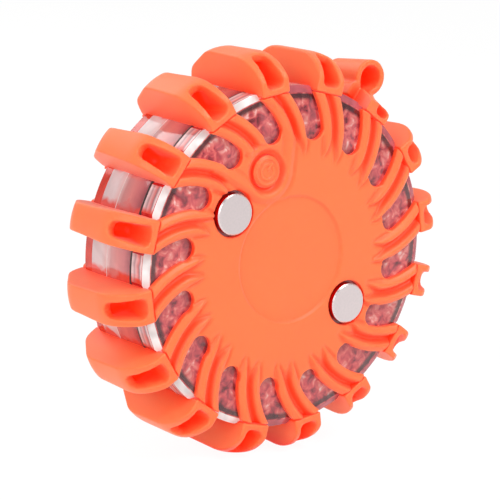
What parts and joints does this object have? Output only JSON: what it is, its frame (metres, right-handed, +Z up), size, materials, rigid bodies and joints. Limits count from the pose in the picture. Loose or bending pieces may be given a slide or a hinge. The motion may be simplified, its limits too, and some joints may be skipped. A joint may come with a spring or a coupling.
{
  "type": "led safety flare",
  "caption": "Round LED road flare: clear puck with edge LEDs in an orange rubber cover with swirling arms, fins, two face magnets, a power button and a hanging eyelet.",
  "frame": {"origin": "centre of the shallow sunk disc in the front cover, on the disc's axis", "axes": "+Y along the disc's axis from the front face to the back; +Z up, midway between two fins, so the flare stands on two fins; -Y is the way the button and magnets face"},
  "size_m": [0.1062, 0.0328, 0.1062],
  "materials": {
    "orange_rubber": "satin moulded",
    "button_rubber": "satin moulded",
    "clear_polycarbonate": "clear gloss",
    "dark_gasket": "matt",
    "nickel_plate": "satin nickel",
    "black_plastic": "moulded",
    "white_plastic": "moulded",
    "board_white": "white solder mask",
    "red_led_epoxy": "clear red epoxy",
    "white_led_epoxy": "clear epoxy",
    "reflector_metal": "metallised",
    "cell_jacket": "printed sleeve, plain",
    "contact_steel": "nickel plated",
    "screw_steel": "zinc plated"
  },
  "bodies": {
    "puck": {"front_cover": "orange_rubber", "rear_cover": "orange_rubber", "rear_fins": "orange_rubber", "eyelet_fin": "orange_rubber", "front_housing": "clear_polycarbonate", "rear_housing": "clear_polycarbonate", "housing_gasket": "dark_gasket", "housing_screws": "screw_steel", "magnet_a": "nickel_plate", "magnet_b": "nickel_plate", "plunger_seal": "dark_gasket", "switch_body": "black_plastic", "circuit_board": "board_white", "controller_chip": "black_plastic", "led_resistors": "black_plastic", "edge_leds": "red_led_epoxy", "reflector_ring": "reflector_metal", "work_leds": "white_led_epoxy", "work_reflector": "reflector_metal", "battery_tray": "black_plastic", "battery_cells": "cell_jacket", "contact_springs": "contact_steel", "contact_plates": "contact_steel"},
    "button": {"power_button": "button_rubber", "button_plunger": "white_plastic", "switch_stem": "black_plastic"}
  },
  "joints": [
    {"name": "button_press", "type": "slide", "parent": "puck", "child": "button", "axis": [0, 1, 0], "range_m": [0, 0.0008], "stiffness_N_per_m": 3000}
  ]
}
